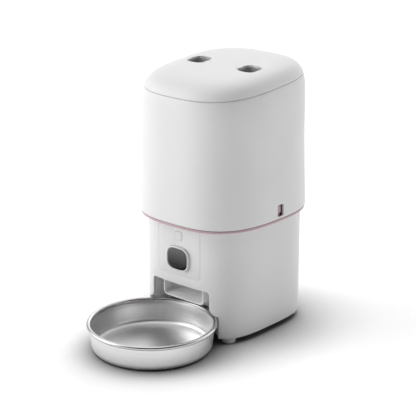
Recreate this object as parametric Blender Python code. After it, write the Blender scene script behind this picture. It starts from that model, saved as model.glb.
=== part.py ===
"""Automatic pet feeder with a lift-off hopper, a rotor dispenser and a steel bowl.

Dimensions are millimetres and MM turns them into metres. The front faces -Y.
The origin is on the floor, at the middle of the whole footprint.
"""
import math

import bmesh
import bpy
from mathutils import Matrix, Vector

MM = 0.001
GAP = 0.3                    # clearance between neighbouring pieces
BODY_Y = 55.83               # the body's centre lies this far behind the origin

# Base: a rounded-square tube
BASE_X, BASE_Y, BASE_POWER = 76.3, 84.0, 3.6
BASE_CENTRE_Y = 2.0
BASE_BOTTOM, BASE_TOP = 7.0, 142.7
WALL = 2.4
FRONT_Y = BASE_CENTRE_Y - BASE_Y
REAR_Y = BASE_CENTRE_Y + BASE_Y
PLATE_TOP = 10.2

# Upper housing and lid: one softer rounded square, tapering up into a dome
SKIN_X, SKIN_Y, SKIN_POWER = 86.0, 96.0, 2.85
SKIN_BOTTOM = 146.4
TAPER = 0.0003               # loss of width per millimetre of height
DOME_BOTTOM, DOME_HEIGHT, DOME_POWER = 230.0, 91.7, 7.5
SEAM, SEAM_GAP = 304.5, 0.6
LEAN = 0.08                  # the lid tilts down towards the front: rise per millimetre of depth
LEAN_START, LEAN_FULL = 200.0, 252.0

# Inside the hopper and the lid; the lean is added to these heights
BIN_X, BIN_WALL, BIN_TOP, FUNNEL_TOP = 73.6, 1.8, 295.5, 206.0
LID_WALL, SKIRT_INSET, SKIRT_WALL, SKIRT_BOTTOM = 2.4, 3.0, 1.8, 300.9
LID_FLOOR, LID_FLOOR_THICK = 300.5, 2.2
SEAL_X, SEAL_WIDTH = 72.0, 5.0
DESICCANT_RADIUS, DESICCANT_WALL, DESICCANT_BOTTOM = 30.0, 1.6, 286.0

# Pink tray between base and housing
TRAY_BOTTOM, TRAY_TOP = 143.0, 145.9
TRAY_EDGE = 0.6              # how far the tray's rim stays inside the housing's skin
COLLAR_TOP = 158.0

# Bowl and the bay it stands in
BOWL_Y = -129.6
BOWL_RIM_RADIUS, BOWL_BEAD, BOWL_RIM_Z = 75.4, 2.6, 31.0
BOWL_WALL = 0.9
BAY_RADIUS, BAY_TOP, BAY_X, BAY_BACK = 79.4, 66.0, 45.0, -46.0
POCKET_BOTTOM, POCKET_TOP = 2.0, 35.5
FLARE_WIDTH, FLARE_HEIGHT = 13.7, 17.5
LINER = 2.0

# Chute
CHUTE_X, CHUTE_WALL = 32.0, 1.6
CHUTE_LIP_TOP, CHUTE_TOP = 64.5, 92.4

# Rotor, its housing and its motor share one axis
ROTOR_Y = 12.0
ROTOR_CUP_RADIUS, ROTOR_CUP_BOTTOM, ROTOR_CUP_TOP = 49.0, 93.0, 141.0
PADDLES = 6
NECK_RADIUS = 44.0

# Front panel, camera and button
PANEL_X, PANEL_BOTTOM = 33.0, 78.0
CAMERA_X, CAMERA_Z, CAMERA_HEIGHT, CAMERA_POWER = 17.2, 99.0, 14.9, 3.2
CAMERA_PROUD = 3.4
BUTTON_HALF, BUTTON_Z = 5.6, 127.5

# Finger wells in the lid
WELL_X, WELL_HALF, WELL_BOTTOM, WELL_WALL = 39.3, 12.4, 304.5, 1.4

# Release tabs
TAB_Y, TAB_SLOT_HALF = 4.0, 5.6
TAB_SLOT_BOTTOM, TAB_SLOT_TOP = 149.2, 163.8

# Batteries
CELL_RADIUS, CELL_LENGTH, CELL_PITCH, CELL_Z = 16.7, 61.0, 35.5, 29.5
CELL_FRONT = 12.0
DOOR_X, DOOR_BOTTOM, DOOR_TOP = 53.0, 13.0, 47.0

# Rear wall and underside
INLET_X, INLET_Z, INLET_RADIUS = 34.0, 62.0, 5.4
SPEAKER_SLOTS, SPEAKER_Z = 5, 104.0
SCREW_SPOTS = [(x, y) for x in (-69.0, 69.0) for y in (-20.0, 30.0)]
FOOT_SPOTS = {"front_left": (-58.0, -57.0), "front_right": (58.0, -57.0),
              "rear_left": (-56.0, 62.0), "rear_right": (56.0, 62.0)}

COLOURS = {
    "white_shell": ((0.86, 0.86, 0.85, 1), 0.45, 0.0),
    "white_part": ((0.80, 0.80, 0.79, 1), 0.5, 0.0),
    "pink_trim": ((0.72, 0.47, 0.50, 1), 0.4, 0.0),
    "grey_part": ((0.22, 0.22, 0.23, 1), 0.5, 0.0),
    "smoked_bin": ((0.45, 0.45, 0.46, 1), 0.3, 0.0),
    "dark_glass": ((0.01, 0.01, 0.012, 1), 0.06, 0.0),
    "silicone": ((0.55, 0.56, 0.56, 1), 0.7, 0.0),
    "steel": ((0.55, 0.55, 0.54, 1), 0.25, 1.0),
    "board": ((0.02, 0.12, 0.07, 1), 0.5, 0.0),
    "cell_wrap": ((0.05, 0.06, 0.08, 1), 0.35, 0.0),
}


# ---------------------------------------------------------------- helpers

def clear_scene():
    for item in list(bpy.data.objects):
        bpy.data.objects.remove(item, do_unlink=True)


def material(name):
    found = bpy.data.materials.get(name)
    if found:
        return found
    colour, roughness, metallic = COLOURS[name]
    made = bpy.data.materials.new(name)
    made.use_nodes = True
    shader = made.node_tree.nodes["Principled BSDF"]
    shader.inputs["Base Color"].default_value = colour
    shader.inputs["Roughness"].default_value = roughness
    shader.inputs["Metallic"].default_value = metallic
    return made


def place(name, mesh_builder, look, origin=(0, 0, 0), smooth=35):
    """Turn a bmesh in body millimetres into an object; its origin is in the same millimetres."""
    centre = Vector(origin) + Vector((0, BODY_Y, 0))
    bmesh.ops.translate(mesh_builder, verts=mesh_builder.verts, vec=-Vector(origin))
    bmesh.ops.scale(mesh_builder, verts=mesh_builder.verts, vec=(MM, MM, MM))
    bmesh.ops.recalc_face_normals(mesh_builder, faces=mesh_builder.faces)
    mesh = bpy.data.meshes.new(name)
    mesh_builder.to_mesh(mesh)
    mesh_builder.free()
    made = bpy.data.objects.new(name, mesh)
    made.location = centre * MM
    bpy.context.collection.objects.link(made)
    if look:
        mesh.materials.append(material(look))
        mesh.shade_smooth()
        mesh.set_sharp_from_angle(angle=math.radians(smooth))
    return made


def guide(name, mesh_builder):
    """A cutter: kept out of the model, shown as wire."""
    made = place(name, mesh_builder, None)
    made.hide_render = True
    made.display_type = "WIRE"
    return made


def combine(target, operation, *tools):
    for tool in tools:
        step = target.modifiers.new(f"{operation} {tool.name}", "BOOLEAN")
        step.operation = operation
        step.solver = "EXACT"
        step.object = tool
    return target


def skin(rings, closed=False):
    """Bridge equal rings in order; cap the two ends, or close the row on itself."""
    made = bmesh.new()
    rows = [[made.verts.new(point) for point in ring] for ring in rings]
    pairs = list(zip(rows, rows[1:]))
    if closed:
        pairs.append((rows[-1], rows[0]))
    for lower, upper in pairs:
        count = len(lower)
        for i in range(count):
            j = (i + 1) % count
            made.faces.new((lower[i], lower[j], upper[j], upper[i]))
    if not closed:
        made.faces.new(reversed(rows[0]))
        made.faces.new(rows[-1])
    return made


def rounded_square(half_x, half_y, power, z, centre_y=0.0, count=48):
    """A superellipse ring at one height."""
    ring = []
    for step in range(count):
        angle = 2 * math.pi * step / count
        c, s = math.cos(angle), math.sin(angle)
        x = half_x * math.copysign(abs(c) ** (2 / power), c)
        y = half_y * math.copysign(abs(s) ** (2 / power), s)
        ring.append((x, centre_y + y, z))
    return ring


def base_ring(inset, z):
    return rounded_square(BASE_X - inset, BASE_Y - inset, BASE_POWER, z, BASE_CENTRE_Y)


def skin_scale(z):
    """Width of the housing and lid at a height, as a share of the width at the housing's foot."""
    if z <= DOME_BOTTOM:
        return 1 - TAPER * (z - SKIN_BOTTOM)
    share = min((z - DOME_BOTTOM) / DOME_HEIGHT, 1.0)
    return skin_scale(DOME_BOTTOM) * (1 - share ** DOME_POWER) ** (1 / DOME_POWER)


def skin_ring(z, inset=0.0):
    scale = skin_scale(z)
    return rounded_square(SKIN_X * scale - inset, SKIN_Y * scale - inset, SKIN_POWER, z)


def straight_ring(half_x, z):
    """A ring of the housing's plan shape with vertical walls."""
    half_y = half_x + SKIN_Y - SKIN_X
    return rounded_square(half_x, half_y, SKIN_POWER, z)


def dome_rings(start, steps, inset=0.0):
    """Rings from a height to the top, spaced evenly round the dome's turn."""
    first = math.asin(((start - DOME_BOTTOM) / DOME_HEIGHT) ** (DOME_POWER / 2))
    last = math.radians(88)
    rings = []
    for step in range(steps + 1):
        turn = first + (last - first) * step / steps
        height = math.sin(turn) ** (2 / DOME_POWER)
        scale = skin_scale(DOME_BOTTOM) * math.cos(turn) ** (2 / DOME_POWER)
        rings.append(rounded_square(SKIN_X * scale - inset, SKIN_Y * scale - inset, SKIN_POWER,
                                    DOME_BOTTOM + (DOME_HEIGHT - inset) * height))
    return rings


def lean(mesh_builder):
    """Tilt the upper part down towards the front without moving it sideways."""
    for vert in mesh_builder.verts:
        share = (vert.co.z - LEAN_START) / (LEAN_FULL - LEAN_START)
        vert.co.z += LEAN * vert.co.y * min(max(share, 0.0), 1.0)
    return mesh_builder


def box(low, high):
    made = bmesh.new()
    size = [b - a for a, b in zip(low, high)]
    middle = [(a + b) / 2 for a, b in zip(low, high)]
    bmesh.ops.create_cube(made, size=1.0)
    bmesh.ops.scale(made, verts=made.verts, vec=size)
    bmesh.ops.translate(made, verts=made.verts, vec=middle)
    return made


def rounded_box(low, high, radius, axis=2, segments=3):
    """A box whose four edges along one axis are rounded."""
    made = box(low, high)
    edges = [e for e in made.edges if abs((e.verts[0].co - e.verts[1].co)[axis]) > 1e-6]
    bmesh.ops.bevel(made, geom=edges, offset=radius, segments=segments, affect="EDGES", profile=0.5)
    return made


def turned(profile, segments=48, centre=(0.0, 0.0), axis="Z", shift=(0, 0, 0)):
    """Spin a closed (radius, height) outline; points at radius 0 become the poles."""
    made = bmesh.new()
    rows = []
    for radius, height in profile:
        if radius == 0:
            rows.append([made.verts.new((0, 0, height))])
            continue
        rows.append([made.verts.new((radius * math.cos(2 * math.pi * i / segments),
                                     radius * math.sin(2 * math.pi * i / segments), height))
                     for i in range(segments)])
    for lower, upper in zip(rows, rows[1:] + rows[:1]):
        if len(lower) == 1 and len(upper) == 1:
            continue
        for i in range(segments):
            j = (i + 1) % segments
            if len(lower) == 1:
                made.faces.new((lower[0], upper[j], upper[i]))
            elif len(upper) == 1:
                made.faces.new((lower[i], lower[j], upper[0]))
            else:
                made.faces.new((lower[i], lower[j], upper[j], upper[i]))
    if axis == "Y":
        bmesh.ops.rotate(made, verts=made.verts, matrix=Matrix.Rotation(math.pi / 2, 3, "X"))
    bmesh.ops.translate(made, verts=made.verts, vec=(centre[0], centre[1], 0))
    bmesh.ops.translate(made, verts=made.verts, vec=shift)
    return made


def cylinder(radius, low, high, centre=(0.0, 0.0), segments=32):
    return turned([(0, low), (radius, low), (radius, high), (0, high)], segments, centre)


def cylinder_y(radius, front, back, x, z, segments=32):
    """A cylinder along Y."""
    return turned([(0, -front), (0, -back), (radius, -back), (radius, -front)], segments,
                  axis="Y", shift=(x, 0, z))


def soft_plate_y(half_x, half_z, power, front, back, z, bulge=0.0, count=40):
    """A rounded-square plate facing the front, its front edge pulled in by bulge."""
    def ring(inset, y):
        flat = rounded_square(half_x - inset, half_z - inset, power, 0.0, 0.0, count)
        return [(px, y, pz + z) for px, pz, _ in flat]
    rings = [ring(bulge, front)] if bulge else []
    rings += [ring(0.0, front + bulge), ring(0.0, back)]
    return skin(rings)


# ---------------------------------------------------------------- base

def bay_pocket(name, offset=0.0):
    """The bowl's round pocket with its flared shoulder."""
    radius, top = BAY_RADIUS + offset, POCKET_TOP + offset
    profile = [(0, POCKET_BOTTOM), (radius, POCKET_BOTTOM)]
    for step in range(6):
        turn = math.radians(90 * step / 5)
        profile.append((radius - FLARE_WIDTH * math.sin(turn), top + FLARE_HEIGHT * (1 - math.cos(turn))))
    profile.append((0, top + FLARE_HEIGHT))
    return guide(name, turned(profile, 48, (0, BOWL_Y)))


def bay_block(offset=0.0):
    """The square recess above the pocket."""
    return rounded_box((-BAY_X - offset, FRONT_Y - 8, 30.0),
                       (BAY_X + offset, BAY_BACK + offset, BAY_TOP + offset), 5.0 + offset / 2, axis=1)


def panel_outline(name, inset):
    half = PANEL_X - inset
    return guide(name, rounded_box((-half, FRONT_Y - 10, PANEL_BOTTOM + inset), (half, FRONT_Y + 25, 200.0),
                                   5.0 - inset, axis=1))


def make_base_shell(pocket, window):
    foot_round = 2.0
    outer = [base_ring(foot_round, BASE_BOTTOM), base_ring(foot_round * 0.3, BASE_BOTTOM + foot_round * 0.3),
             base_ring(0, BASE_BOTTOM + foot_round), base_ring(0, BASE_TOP)]
    inner = [base_ring(WALL, BASE_TOP), base_ring(WALL, BASE_BOTTOM)]
    shell = place("base_shell", skin(outer + inner, closed=True), "white_shell")
    combine(shell, "UNION", *[guide(f"boss_{i}", cylinder(5.3, PLATE_TOP + GAP, 42.0, spot, 16))
                              for i, spot in enumerate(SCREW_SPOTS)])
    cuts = [pocket, window, panel_outline("cut_panel", -GAP)]
    cuts += [guide(f"pilot_{i}", cylinder(1.6, 5.0, 26.0, spot, 12)) for i, spot in enumerate(SCREW_SPOTS)]
    cuts.append(guide("cut_door", box((-DOOR_X - GAP, REAR_Y - 22, DOOR_BOTTOM - GAP),
                                      (DOOR_X + GAP, REAR_Y + 9, DOOR_TOP + GAP))))
    inlet = cylinder_y(INLET_RADIUS + GAP, REAR_Y - 9, REAR_Y + 5, INLET_X, INLET_Z, 24)
    cuts.append(guide("cut_inlet", inlet))
    for i in range(SPEAKER_SLOTS):
        x = (i - (SPEAKER_SLOTS - 1) / 2) * 5.0
        slot = rounded_box((x - 1.0, REAR_Y - 9, SPEAKER_Z - 10), (x + 1.0, REAR_Y + 5, SPEAKER_Z + 10), 0.95,
                           axis=1, segments=2)
        cuts.append(guide(f"cut_slot_{i}", slot))
    return combine(shell, "DIFFERENCE", *cuts)


def make_bottom_plate(pocket):
    plate = place("bottom_plate", skin([base_ring(WALL + GAP, BASE_BOTTOM + 0.2),
                                        base_ring(WALL + GAP, PLATE_TOP)]), "white_part")
    cuts = [pocket]
    for i, spot in enumerate(SCREW_SPOTS):
        profile = [(0, 4.0), (3.6, 4.0), (3.6, 9.0), (1.6, 9.0), (1.6, 14.0), (0, 14.0)]
        cuts.append(guide(f"cut_head_{i}", turned(profile, 16, spot)))
    return combine(plate, "DIFFERENCE", *cuts)


def make_feet():
    outline = [(0, 0), (7.0, 0), (8.0, 0.9), (8.5, 6.7), (0, 6.7)]
    for label, spot in FOOT_SPOTS.items():
        place(f"foot_{label}", turned(outline, 24, spot), "white_part")


def make_screws():
    outline = [(0, 8.0), (1.2, 8.0), (1.4, 7.4), (2.8, 7.4), (3.2, 7.9), (3.2, 8.7), (1.3, 8.7),
               (1.3, 20.0), (0.4, 22.0), (0, 22.0)]
    for number, spot in enumerate(SCREW_SPOTS, 1):
        place(f"plate_screw_{number}", turned(outline, 16, spot), "steel")


def make_bay_liner(pocket, window):
    """Closes the bay off from the works behind it."""
    body = place("bay_liner", bay_block(LINER), "white_part")
    inside = guide("liner_limit", skin([base_ring(WALL + GAP, PLATE_TOP + GAP), base_ring(WALL + GAP, 130.0)]))
    hole = guide("cut_liner_hole", box((-CHUTE_X - GAP, BAY_BACK - 4, 40.0),
                                       (CHUTE_X + GAP, BAY_BACK + LINER + 4, CHUTE_LIP_TOP + GAP)))
    combine(body, "UNION", bay_pocket("pocket_outside", LINER))
    combine(body, "INTERSECT", inside)
    return combine(body, "DIFFERENCE", pocket, window, hole)


def make_chute():
    """A rounded trough that runs from under the rotor out over the bowl."""
    floor = [(-74.0, 43.6), (-60.0, 46.2), (-46.4, 50.4), (-43.4, 52.2), (-43.0, 52.4), (-36.0, 57.5),
             (-24.0, 68.5), (-8.0, 84.5)]

    def section(y, half, low, high, radius):
        bottom_right = [(half - radius + radius * math.sin(t), low + radius - radius * math.cos(t))
                        for t in (math.radians(22.5 * i) for i in range(5))]
        bottom_left = [(-x, z) for x, z in reversed(bottom_right)]
        return [(x, y, z) for x, z in [(half, high)] + [(-half, high)] + bottom_left + bottom_right]

    outer = [section(y, CHUTE_X, z, CHUTE_LIP_TOP if y < -43.2 else CHUTE_TOP, 6.0) for y, z in floor]
    half = CHUTE_X - CHUTE_WALL
    inner = []
    for y, z in [(-75.0, 43.4)] + floor[1:-1] + [(-9.6, 82.9)]:
        open_lip = y < -43.5
        roof = CHUTE_LIP_TOP + 1 if open_lip else (62.5 if y < -41.9 else CHUTE_TOP + 1)
        inner.append(section(y, half, z + CHUTE_WALL, roof, 4.6))
    inner.insert(5, section(-41.6, half, 53.4 + CHUTE_WALL, 62.5, 4.6))
    inner.insert(6, section(-41.2, half, 53.7 + CHUTE_WALL, CHUTE_TOP + 1, 4.6))
    body = place("chute", skin(outer), "white_part")
    return combine(body, "DIFFERENCE", guide("cut_chute", skin(inner)))


# ---------------------------------------------------------------- dispenser

def make_rotor_housing():
    """Cup round the rotor, with the drop hole over the chute."""
    bottom, top, radius = ROTOR_CUP_BOTTOM, ROTOR_CUP_TOP, ROTOR_CUP_RADIUS
    profile = [(4.2, bottom), (radius, bottom), (radius, top), (radius - WALL, top),
               (radius - WALL, bottom + WALL), (4.2, bottom + WALL)]
    cup = place("rotor_housing", turned(profile, 40, (0, ROTOR_Y)), "grey_part")
    drop = guide("cut_drop", rounded_box((-24, ROTOR_Y - 44, bottom - 4), (24, ROTOR_Y - 26, bottom + 8), 4.0))
    return combine(cup, "DIFFERENCE", drop)


def make_rotor():
    low, high = ROTOR_CUP_BOTTOM + WALL + 1.4, 131.0
    hub = [(3.4, low), (10.0, low), (9.0, high - 4), (6.5, high), (3.4, high)]
    rotor = place("rotor", turned(hub, 24, (0, ROTOR_Y)), "silicone", origin=(0, ROTOR_Y, low))
    blades = []
    for i in range(PADDLES):
        blade = box((6.0, -1.2, low + 0.6), (44.5, 1.2, high - 8))
        turn = Matrix.Rotation(2 * math.pi * (i + 0.5) / PADDLES, 3, "Z")
        bmesh.ops.rotate(blade, verts=blade.verts, matrix=turn)
        bmesh.ops.translate(blade, verts=blade.verts, vec=(0, ROTOR_Y, 0))
        blades.append(guide(f"blade_{i}", blade))
    return combine(rotor, "UNION", *blades)


def make_rotor_shaft():
    profile = [(0, 90.8), (3.0, 90.8), (3.0, 134.0), (0, 134.0)]
    place("rotor_shaft", turned(profile, 16, (0, ROTOR_Y)), "steel", origin=(0, ROTOR_Y, 95))


def make_agitator():
    """A soft cap with fingers that keeps kibble moving above the rotor."""
    cap = [(0, 134.4), (7.5, 134.4), (8.0, 136.0), (6.0, 143.0), (2.5, 146.0), (0, 146.4)]
    body = place("agitator", turned(cap, 20, (0, ROTOR_Y)), "silicone", origin=(0, ROTOR_Y, 134))
    fingers = []
    for i in range(4):
        finger = rounded_box((3.0, -1.4, 137.0), (30.0, 1.4, 140.5), 1.0)
        bmesh.ops.rotate(finger, verts=finger.verts, matrix=Matrix.Rotation(math.pi * (i + 0.25) / 2, 3, "Z"))
        bmesh.ops.translate(finger, verts=finger.verts, vec=(0, ROTOR_Y, 0))
        fingers.append(guide(f"finger_{i}", finger))
    return combine(body, "UNION", *fingers)


def make_motor():
    """Flat gearbox on top of a small can motor."""
    profile = [(0, 51.0), (5.0, 51.0), (5.0, 52.5), (12.0, 52.5), (12.0, 74.0), (18.5, 74.0), (18.5, 88.6),
               (5.0, 88.6), (5.0, 90.4), (0, 90.4)]
    place("gear_motor", turned(profile, 24, (0, ROTOR_Y)), "steel")


# ---------------------------------------------------------------- electronics

def make_front_panel():
    outer = [base_ring(0, PANEL_BOTTOM - 8), base_ring(0, BASE_TOP)]
    inner = [base_ring(WALL, BASE_TOP), base_ring(WALL, PANEL_BOTTOM - 8)]
    panel = place("front_panel", skin(outer + inner, closed=True), "white_shell")
    combine(panel, "INTERSECT", panel_outline("panel_limit", 0.0))
    camera_hole = guide("cut_camera", soft_plate_y(CAMERA_X + GAP, CAMERA_HEIGHT + GAP, CAMERA_POWER,
                                                   FRONT_Y - 8, FRONT_Y + 8, CAMERA_Z))
    button_hole = guide("cut_button", soft_plate_y(BUTTON_HALF + GAP, BUTTON_HALF + GAP, 4.0,
                                                   FRONT_Y - 8, FRONT_Y + 8, BUTTON_Z))
    return combine(panel, "DIFFERENCE", camera_hole, button_hole)


def make_camera():
    front = FRONT_Y - CAMERA_PROUD
    bezel = place("camera_bezel", soft_plate_y(CAMERA_X, CAMERA_HEIGHT, CAMERA_POWER, front, FRONT_Y + 8.6,
                                               CAMERA_Z, bulge=0.9), "white_shell")
    combine(bezel, "DIFFERENCE", guide("cut_bezel", soft_plate_y(
        CAMERA_X - 1.7, CAMERA_HEIGHT - 1.7, CAMERA_POWER, front - 3, FRONT_Y + 12, CAMERA_Z)))
    place("camera_glass", soft_plate_y(CAMERA_X - 2.0, CAMERA_HEIGHT - 2.0, CAMERA_POWER, front + 0.3,
                                       front + 2.0, CAMERA_Z, bulge=0.4), "dark_glass")
    place("camera_lens", cylinder_y(5.2, front + 2.4, FRONT_Y + 8.6, 0.0, CAMERA_Z + 4, 24), "grey_part")
    place("front_board", box((-16, FRONT_Y + 9, CAMERA_Z - 15), (16, FRONT_Y + 10.6, BUTTON_Z + 8)), "board")


def make_button():
    cap = place("feed_button", soft_plate_y(BUTTON_HALF, BUTTON_HALF, 4.0, FRONT_Y - 0.5, FRONT_Y + 3.6,
                                            BUTTON_Z, bulge=0.4), "white_shell", origin=(0, FRONT_Y, BUTTON_Z))
    flange = soft_plate_y(BUTTON_HALF + 1.6, BUTTON_HALF + 1.6, 4.0, FRONT_Y + WALL + 0.5, FRONT_Y + WALL + 1.6,
                          BUTTON_Z)
    combine(cap, "UNION", guide("button_flange", flange))
    switch = [(0, -(FRONT_Y + 5.6)), (1.6, -(FRONT_Y + 5.6)), (1.6, -(FRONT_Y + 6.8)), (3.2, -(FRONT_Y + 6.8)),
              (3.2, -(FRONT_Y + 8.6)), (0, -(FRONT_Y + 8.6))]
    place("button_switch", turned(switch[::-1], 16, axis="Y", shift=(0, 0, BUTTON_Z)), "grey_part")


def make_main_board():
    place("main_board", box((-66.0, -20, 54), (-64.4, 46, 124)), "board")


def make_speaker():
    front, back = REAR_Y - 17, REAR_Y - 4.6
    profile = [(0, -front), (9.0, -front), (9.0, -(front + 5)), (15.0, -(back - 3)), (15.0, -back), (0, -back)]
    place("speaker", turned(profile[::-1], 32, axis="Y", shift=(0, 0, SPEAKER_Z)), "grey_part")


def make_power_inlet():
    """Barrel socket with its centre pin."""
    face, back = REAR_Y - 1.6, REAR_Y - 15.0
    profile = [(0, -back), (INLET_RADIUS, -back), (INLET_RADIUS, -face), (3.4, -face), (3.4, -(face - 9)),
               (1.0, -(face - 9)), (1.0, -(face - 1.5)), (0, -(face - 1.5))]
    place("power_inlet", turned(profile, 24, axis="Y", shift=(INLET_X, 0, INLET_Z)), "grey_part")


# ---------------------------------------------------------------- batteries

def make_battery_box():
    wall = 1.4
    half = CELL_PITCH + CELL_RADIUS + 0.8 + wall
    low, high = PLATE_TOP + GAP, CELL_Z + CELL_RADIUS + 0.7 + wall
    tray = place("battery_box", box((-half, CELL_FRONT - 3, low), (half, CELL_FRONT + CELL_LENGTH + 1.5, high)),
                 "white_part")
    inner = box((-half + wall, CELL_FRONT - 1.4, low + wall), (half - wall, REAR_Y + 20, high - wall))
    return combine(tray, "DIFFERENCE", guide("cut_battery_box", inner))


def make_cells():
    radius, back = CELL_RADIUS, CELL_FRONT + CELL_LENGTH
    for number in (-1, 0, 1):
        profile = [(0, -back), (radius - 1, -back), (radius, -(back - 1)), (radius, -(CELL_FRONT + 2.5)),
                   (radius - 1, -(CELL_FRONT + 1.5)), (4.5, -(CELL_FRONT + 1.5)), (4.5, -CELL_FRONT),
                   (0, -CELL_FRONT)]
        place(f"battery_cell_{number + 2}", turned(profile, 20, axis="Y",
                                                   shift=(number * CELL_PITCH, 0, CELL_Z)), "cell_wrap")


def make_battery_door():
    """A piece of the rear wall, hinged along its lower edge."""
    outer = [base_ring(0, DOOR_BOTTOM), base_ring(0, DOOR_TOP)]
    inner = [base_ring(WALL, DOOR_TOP), base_ring(WALL, DOOR_BOTTOM)]
    door = place("battery_door", skin(outer + inner, closed=True), "white_shell",
                 origin=(0, REAR_Y, DOOR_BOTTOM))
    limit = guide("door_limit", box((-DOOR_X, REAR_Y - 21, DOOR_BOTTOM - 3),
                                    (DOOR_X, REAR_Y + 9, DOOR_TOP - 0.4)))
    notch = guide("cut_finger_notch", cylinder_y(7.0, REAR_Y - 1.2, REAR_Y + 5, 0.0, DOOR_TOP + 1.5, 24))
    combine(door, "INTERSECT", limit)
    return combine(door, "DIFFERENCE", notch)


# ---------------------------------------------------------------- tray and release tabs

def make_trim_tray():
    """Pink flange the housing stands on, with a collar that centres it."""
    edge = SKIN_X - TRAY_EDGE
    rim = [straight_ring(edge - 0.6, TRAY_BOTTOM), straight_ring(edge, TRAY_BOTTOM + 0.7),
           straight_ring(edge, TRAY_TOP - 0.5), straight_ring(edge - 0.5, TRAY_TOP)]
    plate = place("trim_tray", skin(rim), "pink_trim")
    collar = guide("tray_collar", skin([straight_ring(82.4, TRAY_BOTTOM + 1), straight_ring(82.2, COLLAR_TOP),
                                        straight_ring(80.2, COLLAR_TOP), straight_ring(80.4, TRAY_BOTTOM + 1)],
                                       closed=True))
    combine(plate, "UNION", collar)
    neck = guide("cut_tray_neck", cylinder(NECK_RADIUS + 1.6, 130, 170, (0, ROTOR_Y), 40))
    gaps = [guide(f"cut_tab_gap_{side}", box((min(side * 74, side * 90), TAB_Y - 7.4, TRAY_TOP + 0.4),
                                             (max(side * 74, side * 90), TAB_Y + 7.4, 170)))
            for side in (-1, 1)]
    return combine(plate, "DIFFERENCE", neck, *gaps)


def make_release_tabs():
    """Spring tongues seen through the slots at the housing's foot; each is pushed inwards."""
    for side, label in ((-1, "left"), (1, "right")):
        foot = (side * 80.6, TAB_Y, TRAY_TOP + 1.4)
        outline = [(79.6, TRAY_TOP + 0.9), (81.6, TRAY_TOP + 0.9), (81.6, 151.0), (83.0, 153.0), (83.0, 160.5),
                   (81.4, 162.6), (79.6, 162.6)]
        half = 3.6
        rings = [[(side * x, y, z) for x, z in outline] for y in (TAB_Y - half, TAB_Y + half)]
        place(f"release_tab_{label}", skin(rings), "pink_trim", origin=foot)


# ---------------------------------------------------------------- hopper

def make_housing():
    heights = [SKIN_BOTTOM + 1.4, LEAN_START, LEAN_FULL, SEAM - 28, SEAM - 14, SEAM - 6, SEAM]
    outer = [skin_ring(SKIN_BOTTOM, 1.2)] + [skin_ring(z) for z in heights]
    inner = [skin_ring(z, WALL) for z in heights[::-1] + [SKIN_BOTTOM]]
    shell = place("housing", lean(skin(outer + inner, closed=True)), "white_shell",
                  origin=(0, 0, SKIN_BOTTOM))
    slots = []
    for side in (-1, 1):
        low_x, high_x = sorted((side * 78, side * 92))
        slots.append(guide(f"cut_tab_slot_{side}", rounded_box(
            (low_x, TAB_Y - TAB_SLOT_HALF, TAB_SLOT_BOTTOM), (high_x, TAB_Y + TAB_SLOT_HALF, TAB_SLOT_TOP),
            2.2, axis=0)))
    return combine(shell, "DIFFERENCE", *slots)


def bin_ring(half_x, z, blend=0.0):
    """Bin section, blending from the housing's plan to the round neck."""
    wide = straight_ring(half_x, z)
    ring = []
    for i, point in enumerate(wide):
        angle = 2 * math.pi * i / len(wide)
        neck = (NECK_RADIUS * math.cos(angle), ROTOR_Y + NECK_RADIUS * math.sin(angle))
        ring.append((point[0] * (1 - blend) + neck[0] * blend, point[1] * (1 - blend) + neck[1] * blend, z))
    return ring


def make_bin():
    outer = [bin_ring(BIN_X, 137.0, 1.0), bin_ring(BIN_X, 152.0, 1.0), bin_ring(BIN_X, 172.0, 0.62),
             bin_ring(BIN_X, FUNNEL_TOP, 0.0), bin_ring(BIN_X, BIN_TOP)]
    thin = BIN_X - BIN_WALL
    share = BIN_WALL / (BIN_X - NECK_RADIUS)

    def inner_ring(z, blend):
        ring = bin_ring(thin, z, blend)
        if blend < 1:
            return ring
        return [(x * (1 - BIN_WALL / NECK_RADIUS), ROTOR_Y + (y - ROTOR_Y) * (1 - BIN_WALL / NECK_RADIUS), z)
                for x, y, z in ring]

    inner = [inner_ring(BIN_TOP, 0), inner_ring(FUNNEL_TOP + 1.2, 0), inner_ring(173.6, 0.62 + share * 0.3),
             inner_ring(153.0, 1), inner_ring(137.0, 1)]
    place("hopper_bin", lean(skin(outer + inner, closed=True)), "smoked_bin", origin=(0, 0, 137))


# ---------------------------------------------------------------- lid

def place_on_lid(name, mesh_builder, look):
    return place(name, lean(mesh_builder), look, origin=(0, 0, SEAM))


def skirt_ring(inset, z):
    """A ring of the lid's skirt, whose walls are vertical so that it draws straight out of the housing."""
    return [(x, y, z) for x, y, _ in skin_ring(SEAM, SKIRT_INSET + inset)]


def well_solid(side, grow, low, high=345.0):
    half = WELL_HALF + grow
    return lean(rounded_box((side * WELL_X - half, -half, low), (side * WELL_X + half, half, high),
                            6.0 + grow, segments=4))


def make_lid():
    start = SEAM + SEAM_GAP
    skirt = [skirt_ring(0, start), skirt_ring(0, SKIRT_BOTTOM), skirt_ring(SKIRT_WALL, SKIRT_BOTTOM),
             skirt_ring(SKIRT_WALL, start + 0.6)]
    rows = dome_rings(start, 7)[::-1] + skirt + dome_rings(start, 7, LID_WALL)[1:]
    lid = place_on_lid("lid_shell", skin(rows), "white_shell")
    return combine(lid, "DIFFERENCE", *[guide(f"cut_well_{side}", well_solid(side, GAP, WELL_BOTTOM - 1))
                                        for side in (-1, 1)])


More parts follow.
